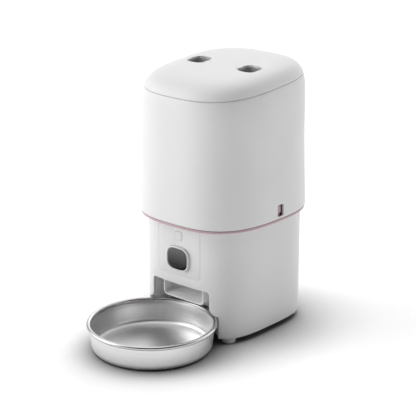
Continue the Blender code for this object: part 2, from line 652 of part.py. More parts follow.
def make_finger_wells():
    """Cups let into the lid, trimmed just under its surface."""
    rings = [[(x, y, z - 0.5) for x, y, z in ring] for ring in dome_rings(SEAM - 4, 10)]
    surface = guide("well_trim", lean(skin(rings)))
    for side, label in ((-1, "left"), (1, "right")):
        cup = place(f"finger_well_{label}", well_solid(side, 0.0, WELL_BOTTOM), "grey_part",
                    origin=(0, 0, SEAM))
        hollow = guide(f"cut_well_inside_{label}", well_solid(side, -WELL_WALL, WELL_BOTTOM + 1.6))
        combine(cup, "INTERSECT", surface)
        combine(cup, "DIFFERENCE", hollow)


def make_lid_floor():
    """Flat inner floor of the lid, with the ring that seals the bin under it."""
    inset = SKIRT_WALL + GAP
    place_on_lid("lid_plate", skin([skirt_ring(inset, LID_FLOOR),
                                    skirt_ring(inset, LID_FLOOR + LID_FLOOR_THICK)]), "white_part")
    low, high = BIN_TOP + GAP, LID_FLOOR - GAP
    rings = [straight_ring(SEAL_X, low), straight_ring(SEAL_X, high),
             straight_ring(SEAL_X - SEAL_WIDTH, high), straight_ring(SEAL_X - SEAL_WIDTH, low)]
    place_on_lid("lid_seal", skin(rings, closed=True), "silicone")


def make_desiccant_box():
    """Round box under the lid's floor, closed by a slotted cap."""
    radius, inner = DESICCANT_RADIUS, DESICCANT_RADIUS - DESICCANT_WALL
    top, bottom = LID_FLOOR - GAP, DESICCANT_BOTTOM
    cup = [(0, top), (radius, top), (radius, bottom), (inner, bottom), (inner, top - 1.8), (0, top - 1.8)]
    place_on_lid("desiccant_box", turned(cup, 40), "white_part")
    cap = place_on_lid("desiccant_cap", cylinder(radius, bottom - 2.3, bottom - GAP, segments=40), "white_part")
    vents = []
    for i in range(8):
        vent = box((9.0, -1.3, bottom - 8), (24.0, 1.3, bottom + 5))
        bmesh.ops.rotate(vent, verts=vent.verts, matrix=Matrix.Rotation(math.pi * i / 4, 3, "Z"))
        vents.append(guide(f"cut_vent_{i}", vent))
    return combine(cap, "DIFFERENCE", *vents)


# ---------------------------------------------------------------- bowl

def make_bowl():
    """Spun steel bowl: one sheet with a rolled rim."""
    corner, outer = 8.0, BOWL_RIM_RADIUS - 1.0
    foot = outer - 2.0
    arc = [math.radians(30 * i) for i in range(4)]
    outside = [(0, 0.0)] + [(foot - corner + corner * math.sin(t), corner - corner * math.cos(t)) for t in arc]
    outside.append((outer, BOWL_RIM_Z - BOWL_BEAD))
    bead = [(BOWL_RIM_RADIUS + BOWL_BEAD * math.cos(t), BOWL_RIM_Z + BOWL_BEAD * math.sin(t))
            for t in (math.radians(-60 + 40 * i) for i in range(7))]
    thin = corner - BOWL_WALL
    inside = [(outer - BOWL_WALL, BOWL_RIM_Z - BOWL_BEAD)]
    inside += [(foot - corner + thin * math.sin(t), corner - thin * math.cos(t)) for t in reversed(arc)]
    profile = outside + bead + inside + [(0, BOWL_WALL)]
    place("bowl", turned(profile, 48, (0, BOWL_Y)), "steel", origin=(0, BOWL_Y, 0), smooth=40)


def main():
    clear_scene()
    pocket, window = bay_pocket("cut_pocket"), guide("cut_window", bay_block())
    make_base_shell(pocket, window)
    make_bottom_plate(pocket)
    make_feet()
    make_screws()
    make_bay_liner(pocket, window)
    make_chute()
    make_rotor_housing()
    make_rotor()
    make_rotor_shaft()
    make_agitator()
    make_motor()
    make_front_panel()
    make_camera()
    make_button()
    make_main_board()
    make_speaker()
    make_power_inlet()
    make_battery_box()
    make_cells()
    make_battery_door()
    make_trim_tray()
    make_release_tabs()
    make_housing()
    make_bin()
    make_lid()
    make_finger_wells()
    make_lid_floor()
    make_desiccant_box()
    make_bowl()


main()
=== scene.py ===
"""Automatic pet feeder: the fine surface, materials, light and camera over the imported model.

Lengths below are millimetres; MM turns them into metres. The front faces -Y.
"""
import math

import bmesh
import bpy
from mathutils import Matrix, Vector


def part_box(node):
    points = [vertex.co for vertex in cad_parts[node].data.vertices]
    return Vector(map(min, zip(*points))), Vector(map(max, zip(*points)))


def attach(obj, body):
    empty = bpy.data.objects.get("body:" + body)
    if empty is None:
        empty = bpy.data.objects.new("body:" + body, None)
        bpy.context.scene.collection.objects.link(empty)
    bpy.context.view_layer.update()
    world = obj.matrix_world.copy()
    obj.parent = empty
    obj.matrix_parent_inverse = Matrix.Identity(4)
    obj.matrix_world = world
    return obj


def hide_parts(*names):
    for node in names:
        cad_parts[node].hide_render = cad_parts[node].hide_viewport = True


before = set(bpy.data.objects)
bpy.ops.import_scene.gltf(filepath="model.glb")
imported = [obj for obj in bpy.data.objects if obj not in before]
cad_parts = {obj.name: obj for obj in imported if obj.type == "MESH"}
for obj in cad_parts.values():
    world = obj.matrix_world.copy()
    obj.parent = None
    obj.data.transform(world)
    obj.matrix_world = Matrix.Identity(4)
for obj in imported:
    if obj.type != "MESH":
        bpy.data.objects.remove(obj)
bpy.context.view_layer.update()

MM = 0.001


def box_mm(node):
    low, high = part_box(node)
    return low / MM, high / MM


def mid(a, b):
    return (a + b) / 2


HOUSING_LOW, HOUSING_HIGH = box_mm("housing")
BASE_LOW, BASE_HIGH = box_mm("base_shell")
TRAY_LOW, TRAY_HIGH = box_mm("trim_tray")
BOWL_LOW, BOWL_HIGH = box_mm("bowl")
CAMERA_LOW, CAMERA_HIGH = box_mm("camera_bezel")
PANEL_LOW, PANEL_HIGH = box_mm("front_panel")
BUTTON_LOW, BUTTON_HIGH = box_mm("feed_button")
DOOR_LOW, DOOR_HIGH = box_mm("battery_door")
TAB_LOW, TAB_HIGH = box_mm("release_tab_right")
WELL_LOW, WELL_HIGH = box_mm("finger_well_right")

CENTRE_Y = mid(HOUSING_LOW.y, HOUSING_HIGH.y)
BASE_Y = mid(BASE_LOW.y, BASE_HIGH.y)
FRONT_Y = BASE_LOW.y
TAB_Y = mid(TAB_LOW.y, TAB_HIGH.y)
CAMERA_Z = mid(CAMERA_LOW.z, CAMERA_HIGH.z)
BUTTON_Z = mid(BUTTON_LOW.z, BUTTON_HIGH.z)
WALL = 2.4
GAP = 0.3
REACH = 8.0                  # how far a cutting form stands out in front of the wall it cuts
FINE = 144                   # points round a shell

# Housing and lid: a rounded square that tapers upwards into a dome
SKIN_POWER = 2.85
TAPER = 0.0003
DOME_BOTTOM, DOME_HEIGHT, DOME_POWER = 230.0, 91.7, 7.5
DOME_TOP = DOME_BOTTOM + DOME_HEIGHT
SEAM, SEAM_GAP, SEAM_EDGE = 304.5, 0.6, 0.3
LEAN, LEAN_START, LEAN_FULL = 0.08, 200.0, 252.0
LID_WALL, SKIRT_INSET, SKIRT_WALL, SKIRT_BOTTOM = 2.4, 3.0, 1.8, 300.9
HOUSING_FOOT = 1.4           # radius of the housing's lower edge
SLOT_HALF, SLOT_BOTTOM, SLOT_TOP, SLOT_CORNER = 5.6, 149.2, 163.8, 2.2
WELL_POWER = 3.4

# Pink tray
RIM_TOP, RIM_ROUND = 145.9, 0.9
NECK_RADIUS = 45.6
TAB_GAP_X, TAB_GAP_HALF, TAB_GAP_BOTTOM = 75.0, 7.4, 146.3

# Base tube and the bay in its front
BASE_POWER = 3.6
BAY_X, BAY_TOP, BAY_RADIUS, POCKET_TOP = 45.0, 66.0, 79.4, 35.5
FLARE_WIDTH, FLARE_HEIGHT = 13.7, 17.5
PANEL_CORNER = 5.0
BEZEL_POWER = 3.2
CAP_HALF, CAP_POWER = 5.6, 4.0
INLET_RADIUS = 5.7
SLOTS, SLOT_PITCH = 5, 5.0   # in front of the speaker

BOWL_CENTRE = (BOWL_LOW + BOWL_HIGH) / 2
BOWL_BEAD = 2.6


# ---------------------------------------------------------------- mesh helpers

def new_object(name, builder, sharp=35):
    """A bmesh in millimetres becomes a smooth object in metres."""
    bmesh.ops.scale(builder, verts=builder.verts, vec=(MM, MM, MM))
    bmesh.ops.recalc_face_normals(builder, faces=builder.faces)
    mesh = bpy.data.meshes.new(name)
    builder.to_mesh(mesh)
    builder.free()
    mesh.shade_smooth()
    mesh.set_sharp_from_angle(angle=math.radians(sharp))
    made = bpy.data.objects.new(name, mesh)
    bpy.context.collection.objects.link(made)
    return made


def cutter(name, builder):
    made = new_object(name, builder)
    made.hide_render = True
    made.display_type = "WIRE"
    return made


def cut(target, *tools, operation="DIFFERENCE"):
    for tool in tools:
        step = target.modifiers.new(tool.name, "BOOLEAN")
        step.operation = operation
        step.solver = "EXACT"
        step.object = tool
        tool.parent = target     # so that the opening moves with its piece


def round_edges(target, width, segments=3, angle=40):
    """Soft moulded edges: the cuts get a small radius."""
    step = target.modifiers.new("edge radius", "BEVEL")
    step.width = width * MM
    step.segments = segments
    step.limit_method = "ANGLE"
    step.angle_limit = math.radians(angle)
    step.miter_outer = "MITER_ARC"


def skin(rings, closed=False):
    """Bridge rings of equal count in order; a ring of one point is a pole."""
    made = bmesh.new()
    rows = [[made.verts.new(point) for point in ring] for ring in rings]
    pairs = list(zip(rows, rows[1:]))
    if closed:
        pairs.append((rows[-1], rows[0]))
    for first, second in pairs:
        count = max(len(first), len(second))
        for i in range(count):
            j = (i + 1) % count
            if len(first) == 1:
                made.faces.new((first[0], second[j], second[i]))
            elif len(second) == 1:
                made.faces.new((first[i], first[j], second[0]))
            else:
                made.faces.new((first[i], first[j], second[j], second[i]))
    for row in (rows[0], rows[-1]):
        if not closed and len(row) > 1:
            made.faces.new(row)
    return made


def rounded_square(half_x, half_y, power, count=FINE):
    """A superellipse as (x, y) pairs, its points spread evenly enough round the corners."""
    points = []
    for step in range(count):
        angle = 2 * math.pi * step / count
        c, s = math.cos(angle), math.sin(angle)
        reach = (abs(c) ** power + abs(s) ** power) ** (-1 / power)
        points.append((half_x * reach * c, half_y * reach * s))
    return points


def level_ring(half_x, half_y, power, z, centre_y):
    return [(x, centre_y + y, z) for x, y in rounded_square(half_x, half_y, power)]


def rounded_box(low, high, radius, axis, segments=6):
    """A box with the four edges along one axis rounded."""
    made = bmesh.new()
    bmesh.ops.create_cube(made, size=1.0)
    bmesh.ops.scale(made, verts=made.verts, vec=[b - a for a, b in zip(low, high)])
    bmesh.ops.translate(made, verts=made.verts, vec=[mid(a, b) for a, b in zip(low, high)])
    edges = [e for e in made.edges if abs((e.verts[0].co - e.verts[1].co)[axis]) > 1e-6]
    bmesh.ops.bevel(made, geom=edges, offset=radius, segments=segments, affect="EDGES",
                    profile=0.5)
    return made


def turned(profile, segments, centre):
    """Spin (radius, height) pairs about a vertical line."""
    rings = []
    for radius, height in profile:
        if radius == 0:
            rings.append([(centre[0], centre[1], height)])
            continue
        rings.append([(centre[0] + radius * math.cos(2 * math.pi * i / segments),
                       centre[1] + radius * math.sin(2 * math.pi * i / segments), height)
                      for i in range(segments)])
    return skin(rings)


def front_plate(half_x, half_z, power, steps, centre_z, count=72):
    """Rings of (inset, y) give a soft-edged plate that faces the front."""
    rings = []
    for inset, y in steps:
        flat = rounded_square(half_x - inset, half_z - inset, power, count)
        rings.append([(x, y, centre_z + z) for x, z in flat])
    return rings


def arc(centre_a, centre_b, radius, start, end, steps):
    """Points of an arc as pairs, angles in degrees."""
    turns = [math.radians(start + (end - start) * i / steps) for i in range(steps + 1)]
    return [(centre_a + radius * math.cos(t), centre_b + radius * math.sin(t)) for t in turns]


# ---------------------------------------------------------------- materials

class Look:
    """A small node-tree writer for one Principled material."""

    def __init__(self, name, **sockets):
        self.material = bpy.data.materials.new(name)
        self.material.use_nodes = True
        self.nodes = self.material.node_tree.nodes
        self.links = self.material.node_tree.links
        self.shader = self.nodes["Principled BSDF"]
        self.place = self.nodes.new("ShaderNodeTexCoord")
        for socket, value in sockets.items():
            self.shader.inputs[socket.replace("_", " ")].default_value = value

    def noise(self, scale, detail=3.0, stretch=(1, 1, 1), source=None):
        mapping = self.nodes.new("ShaderNodeMapping")
        mapping.inputs["Scale"].default_value = stretch
        self.links.new(source or self.place.outputs["Object"], mapping.inputs["Vector"])
        made = self.nodes.new("ShaderNodeTexNoise")
        made.inputs["Scale"].default_value = scale
        made.inputs["Detail"].default_value = detail
        self.links.new(mapping.outputs["Vector"], made.inputs["Vector"])
        return made.outputs["Fac"]

    def ramp(self, value, low, high, start=0.3, end=0.7):
        made = self.nodes.new("ShaderNodeValToRGB")
        made.color_ramp.elements[0].position = start
        made.color_ramp.elements[1].position = end
        made.color_ramp.elements[0].color = (*low, 1)
        made.color_ramp.elements[1].color = (*high, 1)
        self.links.new(value, made.inputs["Fac"])
        return made.outputs["Color"]

    def spread(self, value, low, high):
        made = self.nodes.new("ShaderNodeMapRange")
        made.inputs["To Min"].default_value = low
        made.inputs["To Max"].default_value = high
        self.links.new(value, made.inputs["Value"])
        return made.outputs["Result"]

    def bump(self, value, strength, depth):
        made = self.nodes.new("ShaderNodeBump")
        made.inputs["Strength"].default_value = strength
        made.inputs["Distance"].default_value = depth
        self.links.new(value, made.inputs["Height"])
        self.links.new(made.outputs["Normal"], self.shader.inputs["Normal"])

    def colour(self, value):
        self.links.new(value, self.shader.inputs["Base Color"])

    def roughness(self, value):
        self.links.new(value, self.shader.inputs["Roughness"])


def moulded(name, colour, rough, grain=0.06, mottle=0.012, **sockets):
    """Moulded plastic: spark-eroded grain, faint flow mottling and uneven gloss."""
    look = Look(name, **sockets)
    low = tuple(max(c - mottle, 0.0) for c in colour)
    high = tuple(c + mottle for c in colour)
    look.colour(look.ramp(look.noise(22.0, 4.0), low, high))
    look.roughness(look.spread(look.noise(60.0, 5.0), rough - 0.05, rough + 0.05))
    look.bump(look.noise(2600.0, 2.0), grain, 0.00006)
    return look.material


def spun_steel(name, colour, rough, lines, centre):
    """Stainless steel with fine rings round the bowl's axis, as spinning and brushing leave."""
    look = Look(name, Metallic=1.0)
    shift = look.nodes.new("ShaderNodeVectorMath")
    shift.operation = "SUBTRACT"
    shift.inputs[1].default_value = (centre.x * MM, centre.y * MM, 0.0)
    look.links.new(look.place.outputs["Object"], shift.inputs[0])
    parts = look.nodes.new("ShaderNodeSeparateXYZ")
    look.links.new(shift.outputs["Vector"], parts.inputs["Vector"])
    flat = look.nodes.new("ShaderNodeCombineXYZ")
    look.links.new(parts.outputs["X"], flat.inputs["X"])
    look.links.new(parts.outputs["Y"], flat.inputs["Y"])
    length = look.nodes.new("ShaderNodeVectorMath")
    length.operation = "LENGTH"
    look.links.new(flat.outputs["Vector"], length.inputs[0])
    ring = look.nodes.new("ShaderNodeCombineXYZ")
    look.links.new(length.outputs["Value"], ring.inputs["X"])
    look.links.new(parts.outputs["Z"], ring.inputs["Y"])
    lines_value = look.noise(2200.0, 3.0, source=ring.outputs["Vector"])
    low = tuple(c * 0.94 for c in colour)
    high = tuple(min(c * 1.04, 1.0) for c in colour)
    look.colour(look.ramp(lines_value, low, high))
    look.roughness(look.spread(lines_value, rough * 0.85, rough * 1.15))
    look.bump(lines_value, lines, 0.00005)
    return look.material


def window_glass():
    """Smoked window, a little lighter towards its top: a painted reflection."""
    look = Look("camera_window", Roughness=0.06)
    look.shader.inputs["Specular IOR Level"].default_value = 0.25
    low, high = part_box("camera_glass")
    parts = look.nodes.new("ShaderNodeSeparateXYZ")
    look.links.new(look.place.outputs["Object"], parts.inputs["Vector"])
    up = look.nodes.new("ShaderNodeMapRange")
    up.inputs["From Min"].default_value = low.z
    up.inputs["From Max"].default_value = high.z
    look.links.new(parts.outputs["Z"], up.inputs["Value"])
    # Painted reflection: the dark colour lightens towards the window's top.
    look.colour(look.ramp(up.outputs["Result"], (0.006, 0.006, 0.007), (0.12, 0.12, 0.12),
                          0.2, 0.9))
    look.bump(look.noise(30.0, 1.0), 0.02, 0.0002)
    return look.material


def circuit_board():
    """Green solder mask with tracks."""
    look = Look("solder_mask", Roughness=0.4)
    tracks = look.nodes.new("ShaderNodeTexBrick")
    tracks.inputs["Scale"].default_value = 260.0
    tracks.inputs["Color1"].default_value = (0.012, 0.10, 0.05, 1)
    tracks.inputs["Color2"].default_value = (0.016, 0.13, 0.06, 1)
    tracks.inputs["Mortar"].default_value = (0.03, 0.20, 0.09, 1)
    look.links.new(look.place.outputs["Object"], tracks.inputs["Vector"])
    look.colour(tracks.outputs["Color"])
    look.bump(look.noise(900.0), 0.2, 0.0001)
    return look.material


def cell_sleeve():
    """Cell wrap: dark, with a copper-coloured band at one end."""
    look = Look("cell_sleeve", Roughness=0.3)
    cell_length = 0.061
    parts = look.nodes.new("ShaderNodeSeparateXYZ")
    look.links.new(look.place.outputs["Object"], parts.inputs["Vector"])
    front = box_mm("battery_cell_1")[0].y * MM
    along = look.nodes.new("ShaderNodeMapRange")
    along.inputs["From Min"].default_value = front
    along.inputs["From Max"].default_value = front + cell_length
    look.links.new(parts.outputs["Y"], along.inputs["Value"])
    look.colour(look.ramp(along.outputs["Result"], (0.35, 0.20, 0.08), (0.03, 0.035, 0.045),
                          0.24, 0.26))
    look.bump(look.noise(400.0), 0.1, 0.0001)
    return look.material


WHITE = moulded("white_shell", (0.78, 0.78, 0.78), 0.5)
WHITE_PART = moulded("white_part", (0.86, 0.86, 0.86), 0.5)
FOOT = moulded("white_rubber", (0.74, 0.74, 0.73), 0.7, grain=0.15)
PINK = moulded("pink_trim", (0.54, 0.39, 0.42), 0.4, mottle=0.01)
GREY = moulded("grey_part", (0.11, 0.11, 0.115), 0.5)
WELL = moulded("well_grey", (0.34, 0.34, 0.34), 0.4)
BIN = moulded("bin_grey", (0.36, 0.36, 0.37), 0.4)
SILICONE = moulded("silicone", (0.42, 0.43, 0.43), 0.65, grain=0.12)
SCREW = moulded("zinc_plate", (0.55, 0.55, 0.53), 0.35, Metallic=1.0)
CAN = moulded("motor_can", (0.50, 0.50, 0.50), 0.32, Metallic=1.0)
STEEL = spun_steel("brushed_steel", (0.85, 0.85, 0.85), 0.38, 0.25, BOWL_CENTRE)
# Rim steel: smoother, as the real polish is, and darker, which is painted shade for the dark band
# along the rim.
RIM_STEEL_PAINTED_DARK = spun_steel("polished_rim_painted_shade", (0.60, 0.60, 0.60), 0.14, 0.05, BOWL_CENTRE)
GLASS = window_glass()
BOARD = circuit_board()
SLEEVE = cell_sleeve()

CAD_LOOKS = {
    WHITE: ["battery_door"],
    WHITE_PART: ["bottom_plate", "bay_liner", "chute", "battery_box", "lid_plate",
                 "desiccant_box", "desiccant_cap"],
    PINK: ["release_tab_left", "release_tab_right"],
    GREY: ["rotor_housing", "camera_lens", "button_switch", "speaker", "power_inlet"],
    BIN: ["hopper_bin"],
    SILICONE: ["rotor", "agitator", "lid_seal"],
    SCREW: ["plate_screw_1", "plate_screw_2", "plate_screw_3", "plate_screw_4",
            "rotor_shaft"],
    CAN: ["gear_motor"],
    BOARD: ["front_board", "main_board"],
    SLEEVE: ["battery_cell_1", "battery_cell_2", "battery_cell_3"],
}
CAD_EDGES = {"chute": 0.55, "bay_liner": 0.6, "battery_door": 0.3, "release_tab_left": 0.4,
             "release_tab_right": 0.4}


def dress_cad_nodes():
    """Nodes shown as they are: a material each, and softened edges where they are seen."""
    for look, names in CAD_LOOKS.items():
        for name in names:
            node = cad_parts[name]
            node.data.materials.clear()
            node.data.materials.append(look)
            node.data.shade_smooth()
            node.data.set_sharp_from_angle(angle=math.radians(32))
    for name, width in CAD_EDGES.items():
        round_edges(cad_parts[name], width, segments=2)


def settle(piece, look, body, record_slot, *nodes):
    """Give a finished piece its look and its body, and hide the CAD nodes that it stands for."""
    if look:
        piece.data.materials.append(look)
    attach(piece, body)
    if nodes:
        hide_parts(*nodes)
    return piece


# ---------------------------------------------------------------- housing and lid

def skin_scale(z):
    if z <= DOME_BOTTOM:
        return 1 - TAPER * (z - HOUSING_LOW.z)
    share = min((z - DOME_BOTTOM) / DOME_HEIGHT, 1.0)
    return skin_scale(DOME_BOTTOM) * (1 - share ** DOME_POWER) ** (1 / DOME_POWER)


WIDEST = HOUSING_LOW.z + HOUSING_FOOT
SKIN_X = (HOUSING_HIGH.x - HOUSING_LOW.x) / 2 / skin_scale(WIDEST)
SKIN_Y = (HOUSING_HIGH.y - HOUSING_LOW.y) / 2 / skin_scale(WIDEST)


def skin_ring(z, inset=0.0):
    scale = skin_scale(z)
    return level_ring(SKIN_X * scale - inset, SKIN_Y * scale - inset, SKIN_POWER, z, CENTRE_Y)


def skirt_ring(inset, z):
    return [(x, y, z) for x, y, _ in skin_ring(SEAM, SKIRT_INSET + inset)]


def lean(builder):
    """The lid tilts down towards the front; nothing moves sideways."""
    for vert in builder.verts:
        share = (vert.co.z - LEAN_START) / (LEAN_FULL - LEAN_START)
        vert.co.z += LEAN * (vert.co.y - CENTRE_Y) * min(max(share, 0.0), 1.0)
    return builder


def make_housing():
    low, soft, edge = HOUSING_LOW.z, HOUSING_FOOT, SEAM_EDGE
    foot = [skin_ring(low + soft - soft * math.sin(t), soft - soft * math.cos(t))
            for t in (math.radians(15 * i) for i in range(5, 0, -1))]
    side = [skin_ring(z) for z in (WIDEST, 165, 182, 200, 213, 226, 239, 252, 261, 269, 276,
                                   282, 287, 291, 295, 298, 301, SEAM - edge)]
    lip = [skin_ring(SEAM - edge + edge * math.sin(t), edge - edge * math.cos(t))
           for t in (math.radians(30 * i) for i in range(1, 4))]
    inner = [skin_ring(z, WALL) for z in (SEAM, 298, 287, 270, 252, 200, low)]
    piece = new_object("housing_skin", lean(skin(foot + side + lip + inner, closed=True)))
    for label, low_x, high_x in (("left", -92, -76), ("right", 76, 92)):
        cut(piece, cutter(f"slot_{label}", rounded_box(
            (low_x, TAB_Y - SLOT_HALF, SLOT_BOTTOM), (high_x, TAB_Y + SLOT_HALF, SLOT_TOP),
            SLOT_CORNER, axis=0)))
    round_edges(piece, 0.45, segments=2, angle=50)
    settle(piece, WHITE, "hopper", "white_shell", "housing")


def dome_rows(start, shrink, steps):
    """Rings from a height up to the pole, spread evenly along the dome's own curve."""
    first = math.asin(((start - DOME_BOTTOM) / DOME_HEIGHT) ** (DOME_POWER / 2))
    turns = [first + (math.radians(86) - first) * i / steps for i in range(steps + 1)]
    rows = []
    for share in [math.cos(turn) ** (2 / DOME_POWER) for turn in turns] + [0.44, 0.34, 0.22, 0.1]:
        scale = skin_scale(DOME_BOTTOM) * share
        z = DOME_BOTTOM + (DOME_HEIGHT - shrink) * (1 - share ** DOME_POWER) ** (1 / DOME_POWER)
        rows.append(level_ring(SKIN_X * scale - shrink, SKIN_Y * scale - shrink, SKIN_POWER,
                               z, CENTRE_Y))
    return rows + [[(0.0, CENTRE_Y, DOME_TOP - shrink)]]


def make_lid():
    """Domed shell with a skirt that drops inside the housing, and two holes for the cups."""
    low, edge = SEAM + SEAM_GAP, SEAM_EDGE
    skirt = [skirt_ring(SKIRT_WALL, low + 0.6), skirt_ring(SKIRT_WALL, SKIRT_BOTTOM),
             skirt_ring(0, SKIRT_BOTTOM), skirt_ring(0, low)]
    bottom = [skin_ring(low, edge), skin_ring(low + edge * 0.3, edge * 0.3)]
    inside = dome_rows(low + edge, LID_WALL, 16)[:0:-1]
    rows = inside + skirt + bottom + dome_rows(low + edge, 0.0, 36)
    piece = new_object("lid_dome", lean(skin(rows)), sharp=50)
    for sign, label in ((-1, "left"), (1, "right")):
        cut(piece, cutter(f"well_hole_{label}", skin([well_ring(sign, -GAP, SEAM - 2),
                                                      well_ring(sign, -GAP, SEAM + 40)])))
    round_edges(piece, 0.5, segments=3, angle=45)
    settle(piece, WHITE, "lid", "white_shell", "lid_shell")


def well_ring(sign, inset, z):
    half = (WELL_HIGH.x - WELL_LOW.x) / 2 - inset
    middle = sign * (WELL_LOW.x + WELL_HIGH.x) / 2
    return [(middle + x, CENTRE_Y + y, z) for x, y in rounded_square(half, half, WELL_POWER, 96)]


def make_wells():
    """Finger cups: a soft rim just under the lid's surface, walls and a dished floor."""
    wall, soft = 1.4, 3.0
    floor = WELL_LOW.z + 2.6
    bead, rim = wall / 2, DOME_TOP - 0.9 - wall
    for sign, label in ((-1, "left"), (1, "right")):
        rings = [well_ring(sign, 0.5, WELL_LOW.z + 1), well_ring(sign, 0.0, WELL_LOW.z + 1.5),
                 well_ring(sign, 0.0, rim)]
        rings += [well_ring(sign, bead - bead * math.cos(t), rim + bead * math.sin(t))
                  for t in (math.radians(30 * i) for i in range(1, 7))]
        rings += [well_ring(sign, wall + soft - soft * math.cos(t),
                            floor + soft - soft * math.sin(t))
                  for t in (math.radians(15 * i) for i in range(7))]
        piece = new_object(f"finger_cup_{label}", lean(skin(rings)), sharp=60)
        settle(piece, WELL, "lid", "grey_part", f"finger_well_{label}")


def make_tray():
    """Pink rim under the housing, with the collar that centres it."""
    edge_x, edge_y = TRAY_HIGH.x, (TRAY_HIGH.y - TRAY_LOW.y) / 2
    low, soft = TRAY_LOW.z, RIM_ROUND

    def ring(inset, z):
        return level_ring(edge_x - inset, edge_y - inset, SKIN_POWER, z, CENTRE_Y)

    rim = [ring(soft - soft * math.sin(t), low + soft - soft * math.cos(t))
           for t in (math.radians(22.5 * i) for i in range(5))]
    rim += [ring(soft - soft * math.cos(t), RIM_TOP - soft + soft * math.sin(t))
            for t in (math.radians(22.5 * i) for i in range(5))]
    piece = new_object("tray_rim", skin(rim))
    collar = [ring(3.0, low + 1), ring(3.2, TRAY_HIGH.z), ring(5.2, TRAY_HIGH.z),
              ring(5.0, low + 1)]
    cut(piece, cutter("collar_form", skin(collar, closed=True)), operation="UNION")
    rotor_low, rotor_high = box_mm("rotor_housing")
    centre = (mid(rotor_low.x, rotor_high.x), mid(rotor_low.y, rotor_high.y))
    hole = [(0, 130), (NECK_RADIUS, 130), (NECK_RADIUS, 175), (0, 175)]
    gaps = [rounded_box((min(x, x * 1.2), TAB_Y - TAB_GAP_HALF, TAB_GAP_BOTTOM),
                        (max(x, x * 1.2), TAB_Y + TAB_GAP_HALF, 170), 1.0, axis=0)
            for x in (-TAB_GAP_X, TAB_GAP_X)]
    cut(piece, cutter("neck_hole", turned(hole, 96, centre)),
        *[cutter(f"tab_gap_{i}", gap) for i, gap in enumerate(gaps)])
    settle(piece, PINK, "base", "pink_trim", "trim_tray")


# ---------------------------------------------------------------- base

def base_ring(inset, z):
    return level_ring(BASE_HIGH.x - inset, (BASE_HIGH.y - BASE_LOW.y) / 2 - inset, BASE_POWER,
                      z, BASE_Y)


def panel_form(name, inset):
    half = PANEL_HIGH.x - inset
    return cutter(name, rounded_box((-half, FRONT_Y - 10, PANEL_LOW.z + inset),
                                    (half, FRONT_Y + 25, 200.0), PANEL_CORNER - inset, axis=1))


def make_base():
    """Tube with the bay for the bowl, the window over it, and the panel's and the door's gaps."""
    soft = 2.0
    low, top = BASE_LOW.z, BASE_HIGH.z
    outer = [base_ring(soft - soft * math.sin(t), low + soft - soft * math.cos(t))
             for t in (math.radians(18 * i) for i in range(6))]
    outer += [base_ring(0, z) for z in (30, 55, 80, 110, top)]
    inner = [base_ring(WALL, z) for z in (top, 110, 80, 55, 30, low)]
    piece = new_object("base_skin", skin(outer + inner, closed=True))

    profile = [(0, 2.0), (BAY_RADIUS, 2.0)]
    profile += [(BAY_RADIUS - FLARE_WIDTH * math.sin(t),
                 POCKET_TOP + FLARE_HEIGHT * (1 - math.cos(t)))
                for t in (math.radians(9 * i) for i in range(11))]
    profile.append((0, POCKET_TOP + FLARE_HEIGHT))
    pocket = cutter("pocket_form", turned(profile, 160, (0, BOWL_CENTRE.y)))
    window = cutter("window_form", rounded_box((-BAY_X, FRONT_Y - REACH, 30.0),
                                               (BAY_X, FRONT_Y + 36, BAY_TOP), 5.0, axis=1))
    door = cutter("door_form", rounded_box((DOOR_LOW.x - GAP, DOOR_HIGH.y - 22, DOOR_LOW.z - GAP),
                                           (DOOR_HIGH.x + GAP, DOOR_HIGH.y + 9, DOOR_HIGH.z + 0.7),
                                           0.8, axis=1))
    cut(piece, pocket, window, panel_form("panel_gap", -GAP), door, *rear_holes())
    round_edges(piece, 0.8, segments=3, angle=50)
    settle(piece, WHITE, "base", "white_shell", "base_shell")


def rear_holes():
    """Round hole for the power inlet and the speaker's slots."""
    inner, outer = BASE_HIGH.y - 9, BASE_HIGH.y + 5
    inlet_low, inlet_high = box_mm("power_inlet")
    x, z = mid(inlet_low.x, inlet_high.x), mid(inlet_low.z, inlet_high.z)
    plug = skin(front_plate(INLET_RADIUS, INLET_RADIUS, 2.0, [(0, inner), (0, outer)], z, 48))
    bmesh.ops.translate(plug, verts=plug.verts, vec=(x, 0, 0))
    holes = [cutter("inlet_hole", plug)]
    speaker_low, speaker_high = box_mm("speaker")
    middle = mid(speaker_low.z, speaker_high.z)
    for i in range(SLOTS):
        slot_x = (i - SLOTS // 2) * SLOT_PITCH
        holes.append(cutter(f"speaker_slot_{i}", rounded_box(
            (slot_x - 1, inner, middle - 10), (slot_x + 1, outer, middle + 10), 0.95, axis=1,
            segments=4)))
    return holes


def make_panel():
    """Front panel, cut out of the same tube, with holes for the camera and the button."""
    low, top = PANEL_LOW.z - 8, BASE_HIGH.z
    outer = [base_ring(0, z) for z in (low, 95, 110, 125, top)]
    inner = [base_ring(WALL, z) for z in (top, low)]
    piece = new_object("panel_skin", skin(outer + inner, closed=True))
    cut(piece, panel_form("panel_limit", 0.0), operation="INTERSECT")
    around = [(0, FRONT_Y - REACH), (0, FRONT_Y + REACH)]
    holes = [front_plate(CAMERA_HIGH.x + GAP, (CAMERA_HIGH.z - CAMERA_LOW.z) / 2 + GAP,
                         BEZEL_POWER, around, CAMERA_Z),
             front_plate(CAP_HALF + GAP, CAP_HALF + GAP, CAP_POWER, around, BUTTON_Z)]
    cut(piece, *[cutter(f"panel_hole_{i}", skin(hole)) for i, hole in enumerate(holes)])
    round_edges(piece, 0.35, segments=2, angle=50)
    settle(piece, WHITE, "base", "white_shell", "front_panel")


